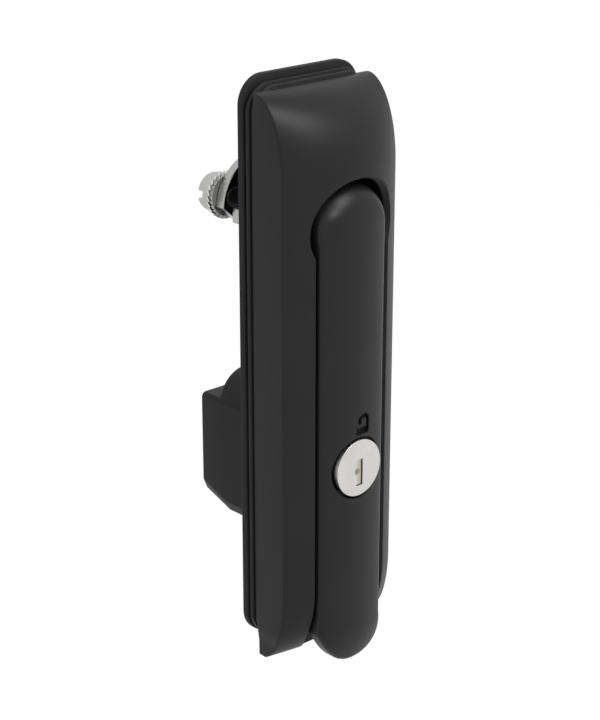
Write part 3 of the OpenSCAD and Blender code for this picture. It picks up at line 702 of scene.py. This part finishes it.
def makeSeal(v):
    def outline(inset):
        return roundedBox(v["half"] - inset, v["top"] - inset, v["bottom"] + inset, v["radius"] - inset,
                          v["cornerSteps"])

    seal = stack([(depth, outline(inset)) for depth, inset in v["steps"]], "sealRim", sealRubber)
    middle = prism(outline(v["rim"]), -1.0, 4.0)
    spots = [(x, z) for x in (-v["holeX"], v["holeX"]) for z in (v["holeTop"], v["holeBottom"])]
    combine(middle, [joined([prism(circle(v["padRadius"], x, z, 48), -2.0, 5.0) for x, z in spots])])
    combine(seal, [middle, joined([prism(circle(v["holeRadius"], x, z, 40), -1.0, 4.0) for x, z in spots])])
    return finished(seal, "housing_body", "seal")


makeSeal(sealValues)
print("stage: seal")


caseValues = {
    "half": 12.0, "top": -62.6, "bottom": -100.0, "depth": 31.5, "slopeHeight": 4.4, "slopeDepth": 12.0,
    "chamferWidth": 1.4, "chamferHeight": 3.4, "corner": 1.6, "upperCorner": 1.2, "lowerCorner": 0.8,
    "rearRound": 1.1,
    "bossRadius": 10.25, "bossZ": -65.0, "bossDepth": 24.5, "bossFillet": 1.5, "bossRound": 0.9,
    "flangeHalf": 18.4, "flangeTop": -46.4, "flangeBottom": -107.4, "flangeCorner": 2.0,
    "flangeSteps": [(0.0, 0.25), (0.25, 0.0), (2.4, 0.0)],
    "frameHalf": 17.0, "frameBottom": -93.4, "frameTop": -53.4, "frameBack": 2.3, "frameFront": 4.8,
    "lockZ": -73.4, "openingRadius": 15.4, "openingBack": 2.35,
    "insideHalf": 10.0, "insideBottom": -93.0, "insideTop": -64.6, "insideBack": -19.5, "insideFront": 2.41,
    "screwX": 10.0, "screwZ": (-50.4, -103.4), "screwRadius": 1.7, "headRadius": 3.0, "headDepth": 1.2,
}


def caseOutline(v, inset, bottom):
    half = v["half"] - inset
    top = v["top"] - inset
    low = bottom + inset
    edge = low + v["chamferHeight"]
    return roundedPolygon([
        (half, top, v["corner"]), (-half, top, v["corner"]), (-half, edge, v["upperCorner"]),
        (-half + v["chamferWidth"], low, v["lowerCorner"]), (half - v["chamferWidth"], low, v["lowerCorner"]),
        (half, edge, v["upperCorner"])], 8)


def bossOutline(v, inset):
    radius = v["bossRadius"] - inset
    fillet = v["bossFillet"]
    plane = v["top"] - 0.02
    rise = plane + fillet - v["bossZ"]
    side = math.sqrt((radius + fillet) ** 2 - rise ** 2)
    turn = math.degrees(math.atan2(rise, side))
    arc = circle(radius, 0, v["bossZ"], 40, turn, 180 - 2 * turn)
    left = circle(fillet, -side, v["bossZ"] + rise, 8, -turn, turn - 90)
    right = [(-x, z) for x, z in reversed(left)]
    base = plane - 3.0
    return arc + left[1:] + [(-side, base), (side, base)] + right[:-1]


# depths and insets of a rounded rear edge
def rearEdge(depth, radius, steps):
    angles = [math.radians(90 / steps * i) for i in range(steps + 1)]
    return [(-depth + radius * (1 - math.cos(a)), radius * (1 - math.sin(a))) for a in angles]


def makeCase(v):
    shellLevels = rearEdge(v["depth"], v["rearRound"], 6) + [(v["slopeDepth"] - v["depth"], 0.0), (0.0, 0.0)]
    levels = []
    for depth, inset in shellLevels:
        share = max(0.0, (-depth - v["depth"] + v["slopeDepth"]) / v["slopeDepth"])
        levels.append((depth, caseOutline(v, inset, v["bottom"] + share * v["slopeHeight"])))
    case = stack(levels, "caseShell", caseShadePlastic)
    bossLevels = rearEdge(v["bossDepth"], v["bossRound"], 5) + [(0.0, 0.0)]
    boss = stack([(depth, bossOutline(v, inset)) for depth, inset in bossLevels])
    flange = stack([(depth, roundedBox(
        v["flangeHalf"] - inset, v["flangeTop"] - inset, v["flangeBottom"] + inset, v["flangeCorner"]))
        for depth, inset in v["flangeSteps"]])
    support = block(-v["frameHalf"], v["frameHalf"], v["frameBack"], v["frameFront"],
                    v["frameBottom"], v["frameTop"])
    combine(support, [prism(circle(v["openingRadius"], 0, v["lockZ"], 72), v["openingBack"], 6.0)])
    combine(case, [boss, flange, support], "UNION")
    spots = [(x, z) for x in (-v["screwX"], v["screwX"]) for z in v["screwZ"]]
    combine(case, [
        block(-v["insideHalf"], v["insideHalf"], v["insideBack"], v["insideFront"],
              v["insideBottom"], v["insideTop"]),
        joined([prism(circle(v["screwRadius"], x, z, 24), -1.0, 3.4) for x, z in spots]),
        joined([prism(circle(v["headRadius"], x, z, 32), -1.0, v["headDepth"]) for x, z in spots])])
    return finished(case, "housing_body", "lock_case")


makeCase(caseValues)
print("stage: lock case")


plugValues = {
    "z": -73.4, "faceRadius": 8.9, "faceFront": 27.5, "faceBack": 25.5, "chamfer": 0.12, "bodyRadius": 6.0,
    "bodyBack": 4.5, "tailBack": 2.9, "tail": 3.0, "screwHole": 1.6,
    "keyLeft": -0.85, "keyRight": 1.5, "keyTop": 2.7, "keyBottom": -5.7, "keyFoot": 0.3, "keyDeep": 17.0,
    "pinX": -0.75, "pinZ": -0.95, "pinRadius": 1.05, "pinDeep": 2.0,
    "shutterLeft": 0.02, "shutterRight": 0.27, "shutterTop": 0.05, "shutterBottom": 0.32, "shutterBack": 1.2,
}


def keyOutline(v):
    left, right, foot = v["keyLeft"], v["keyRight"], v["keyFoot"]
    top, bottom = v["z"] + v["keyTop"], v["z"] + v["keyBottom"]
    step = v["z"] + (v["keyBottom"] + 2 * foot)
    return [(left, top), (left, step), (left - foot, step), (left - foot, bottom),
            (right, bottom), (right, top)]


def makePlug(v):
    front, radius, chamfer, tail = v["faceFront"], v["faceRadius"], v["chamfer"], v["tail"]
    angles = [math.radians(15 * i) for i in range(1, 7)]
    face = [(0.0, front), (radius * 0.5, front), (radius - chamfer, front)]
    face += [(radius - chamfer + chamfer * math.sin(a), front - chamfer + chamfer * math.cos(a))
             for a in angles]
    face += [(radius, v["faceBack"]), (v["bodyRadius"], v["faceBack"]), (v["bodyRadius"], v["bodyBack"]),
             (0.0, v["bodyBack"])]
    plug = lathe(face, 0, v["z"], 120, "lockPlug", satinNickel)
    square = block(-tail, tail, v["tailBack"], v["bodyBack"] + 0.5, v["z"] - tail, v["z"] + tail)
    combine(plug, [square], "UNION")
    combine(plug, [prism(keyOutline(v), front - v["keyDeep"], 40.0),
                   prism(circle(v["pinRadius"], v["pinX"], v["z"] + v["pinZ"], 40), front - v["pinDeep"], 40.0),
                   prism(circle(v["screwHole"], 0, v["z"], 32), -5.0, 10.0)])
    return finished(plug, "plug_body", "lock_plug", 40)


# the spring flap behind the keyhole, and the pin beside it, whose dark metal is painted shade of a shallow
# dimple
def makeShutter(v):
    front = v["faceFront"]
    left, right = v["keyLeft"] + v["shutterLeft"], v["keyRight"] - v["shutterRight"]
    heights = (v["z"] + v["keyBottom"] + v["shutterBottom"], v["z"] + v["keyTop"] - v["shutterTop"])
    rows = [(left, front - 0.06), (left + 0.5, front - 0.10), (right - 0.25, front - 0.30),
            (right, front - 0.42), (right, front - v["shutterBack"]), (left, front - v["shutterBack"])]
    shutter = loft([[(x, -depth, z) for x, depth in rows] for z in heights], "plugShutter", shutterMetal)
    finished(shutter, "plug_body", None, 40)
    radius, back = v["pinRadius"], front - v["pinDeep"]
    profile = [(0.0, front - 0.03), (radius * 0.6, front - 0.04), (radius * 0.9, front - 0.09),
               (radius, front - 0.16), (radius, back), (0.0, back)]
    pin = lathe(profile, v["pinX"], v["z"] + v["pinZ"], 40, "guardPin", pinShadeMetal)
    return finished(pin, "plug_body", None, 40)


makePlug(plugValues)
makeShutter(plugValues)
print("stage: lock plug")


discValues = {
    "radius": 15.5, "flat": 9.1, "turn": 51.0, "front": -15.0, "back": -18.3, "chamfer": 0.25,
    "square": 4.05, "squareBack": -17.1, "centreHole": 2.1,
    "screwHole": 3.02, "screwX": 10.747, "screwZ": 3.492,
}


def discOutline(v, inset):
    radius, flat = v["radius"] - inset, v["flat"] - inset
    c, s = math.cos(math.radians(v["turn"])), math.sin(math.radians(v["turn"]))
    points = []
    for i in range(180):
        angle = math.radians(2 * i)
        u, w = radius * math.cos(angle), radius * math.sin(angle)
        u = max(-flat, min(flat, u))
        points.append((u * c - w * s, u * s + w * c))
    return points


def makeDisc(v):
    c, square = v["chamfer"], v["square"]
    levels = ((v["back"], c), (v["back"] + c, 0.0), (v["front"] - c, 0.0), (v["front"], c))
    disc = stack([(depth, discOutline(v, inset)) for depth, inset in levels], "driveDisc", zincPlate)
    holes = [prism(circle(v["screwHole"], s * v["screwX"], -s * v["screwZ"], 40), -30.0, 0.0) for s in (-1, 1)]
    combine(disc, [joined(holes), block(-square, square, v["squareBack"], 0.0, -square, square),
                   prism(circle(v["centreHole"], count=32), -30.0, 0.0)])
    disc.data.materials.append(discShadePaint)
    nearFront = -(v["front"] - 0.2) * millimetre
    for polygon in disc.data.polygons:  # only the face towards the door is blackened, as painted shade
        polygon.material_index = 1 if polygon.normal.y < -0.95 and polygon.center.y < nearFront else 0
    return finished(disc, "spindle_body", "drive_disc", 25)


makeDisc(discValues)


screwValues = {
    "x": 10.747, "z": 3.492, "headRadius": 6.25, "headBack": -25.5, "seat": -19.9, "shankRadius": 3.0,
    "shankFront": -15.0, "chamfer": 0.55, "slotHalf": 1.3, "slotDepth": 2.9, "step": 0.35, "stepDepth": 2.3,
}


def makeScrews(v):
    radius, back, seat, c = v["headRadius"], v["headBack"], v["seat"], v["chamfer"]
    slim, ledge = radius - v["step"], back + v["stepDepth"]
    profile = [(0.0, back), (slim * 0.5, back), (slim - c, back), (slim - 0.12, back + c * 0.55),
               (slim, back + c * 1.2), (slim, ledge), (radius - 0.1, ledge + 0.05), (radius, ledge + 0.2),
               (radius, seat - 0.25), (radius - 0.2, seat), (v["shankRadius"], seat),
               (v["shankRadius"], v["shankFront"]), (0.0, v["shankFront"])]
    made = []
    for side in (-1, 1):
        x, z = side * v["x"], -side * v["z"]
        screw = lathe(profile, x, z, 72, "rodScrews", zincScrew)
        slot = block(x - 15, x + 15, back - 1.0, back + v["slotDepth"], z - v["slotHalf"], z + v["slotHalf"])
        made.append(combine(screw, [slot]))
    return finished(joined(made), "spindle_body", "rod_screws", 30)


makeScrews(screwValues)


washerValues = {
    "x": 10.747, "z": 3.492, "front": -18.3, "thickness": 1.6, "inner": 3.15, "ring": 6.3, "ringChamfer": 0.2,
    "faceHalf": 0.79, "edgeHalf": 0.5, "outer": 7.25,
    "teeth": 26, "twist": 34.0, "toothRoot": 0.6, "toothWidth": 1.75, "toothThickness": 0.5,
}


def washerTooth(v, angle, x, z):
    middle = v["front"] - v["thickness"] / 2
    twist = math.radians(v["twist"])
    c, s = math.cos(math.radians(angle)), math.sin(math.radians(angle))
    rings = []
    for r in (v["ring"] - v["toothRoot"], v["outer"]):
        ring = []
        for side, up in ((-1, -1), (1, -1), (1, 1), (-1, 1)):
            across = side * v["toothWidth"] / 2
            height = up * v["toothThickness"] / 2
            t = across * math.cos(twist) - height * math.sin(twist)
            d = across * math.sin(twist) + height * math.cos(twist)
            ring.append((x + r * c - t * s, -(middle + d), z + r * s + t * c))
        rings.append(ring)
    tooth = loft(rings)
    tooth.data.polygons.foreach_set("material_index", [1] * len(tooth.data.polygons))
    return tooth


def makeWashers(v):
    middle = v["front"] - v["thickness"] / 2
    face, edge, slim = v["faceHalf"], v["edgeHalf"], v["ring"] - v["ringChamfer"]
    profile = [(0.0, middle - face), (slim, middle - face), (v["ring"], middle - edge),
               (v["ring"], middle + edge), (slim, middle + face), (0.0, middle + face)]
    rings = []
    for side in (-1, 1):
        x, z = side * v["x"], -side * v["z"]
        # the ring in the darker zinc plate as painted shade under the teeth, the teeth (slot 1) in a brighter
        # steel as painted highlight
        ring = lathe(profile, x, z, 64, "serratedWashers", zincPlate)
        ring.data.materials.append(toothHighlightSteel)
        combine(ring, [prism(circle(v["inner"], x, z, 40), middle - 3, middle + 3)])
        rings.append(joined([ring] + [washerTooth(v, 360 * i / v["teeth"], x, z) for i in range(v["teeth"])]))
    return finished(joined(rings), "spindle_body", "serrated_washers", 30)


makeWashers(washerValues)
print("stage: drive disc, screws and washers")


cameraValues = {
    "location": (-0.35235, -0.37945, 0.14605), "forward": (0.6392, 0.6855, -0.3486),
    "lens": 91.0, "sensor": 36.0,
}


def link(name, data, location, forward):
    made = bpy.data.objects.new(name, data)
    made.location = location
    made.rotation_euler = Vector(forward).to_track_quat("-Z", "Y").to_euler()
    bpy.context.scene.collection.objects.link(made)
    return made


def makeCamera(v):
    data = bpy.data.cameras.new("camera")
    data.lens = v["lens"]
    data.sensor_width = v["sensor"]
    data.sensor_height = v["sensor"]
    data.clip_end = 20.0
    bpy.context.scene.camera = link("camera", data, v["location"], v["forward"])


studioValues = {
    "floorZ": -0.30, "floorSize": 6.0, "floorTone": 0.86, "worldTone": 0.85, "backdropTone": 1.0,
    "lampPlace": (0.10, -0.69, 0.79), "lampTarget": (0, -0.02, 0.03), "lampSize": 0.45, "lampPower": 6.8,
}


def makeWorld(v):
    world = bpy.data.worlds.new("studio")
    bpy.context.scene.world = world
    world.use_nodes = True
    nodes = Nodes(world.node_tree)
    nodes.tree.nodes.clear()
    lit, seen = (nodes.add("ShaderNodeBackground", {"Color": (1, 1, 1, 1), "Strength": tone})
                 for tone in (v["worldTone"], v["backdropTone"]))
    mix = nodes.add("ShaderNodeMixShader", {0: nodes.backdropRays(), 1: lit, 2: seen})
    nodes.add("ShaderNodeOutputWorld", {"Surface": mix})


# white to the camera and in reflections, a pale matt floor to everything else
def makeFloor(v):
    half = v["floorSize"] / 2
    mesh = bpy.data.meshes.new("floor")
    corners = [(-half, -half, 0), (half, -half, 0), (half, half, 0), (-half, half, 0)]
    mesh.from_pydata(corners, [], [(0, 1, 2, 3)])
    floor = bpy.data.objects.new("floor", mesh)
    floor.location.z = v["floorZ"]
    bpy.context.scene.collection.objects.link(floor)
    shader = Finish("floorPaint")
    shader.fixed(Roughness=0.9, Specular_IOR_Level=0.1)
    tone = v["floorTone"]
    shader.feed("Base Color", shader.ramp(shader.noise(2.0), [(0.2, (tone,) * 3), (0.8, (tone + 0.04,) * 3)]))
    white = shader.add("ShaderNodeEmission")
    paint = Socket(shader, shader.surface.outputs[0])
    mix = shader.add("ShaderNodeMixShader", {0: shader.backdropRays(), 1: paint, 2: white})
    shader.tree.links.new(mix.socket, shader.tree.nodes["Material Output"].inputs["Surface"])
    mesh.materials.append(shader.material)


def makeLamp(v):
    data = bpy.data.lights.new("key", "AREA")
    data.size = v["lampSize"]
    data.energy = v["lampPower"]
    link("key", data, v["lampPlace"], Vector(v["lampTarget"]) - Vector(v["lampPlace"]))


makeCamera(cameraValues)
makeWorld(studioValues)
makeFloor(studioValues)
makeLamp(studioValues)
bpy.context.scene.view_settings.view_transform = "Standard"
print("stage: studio")
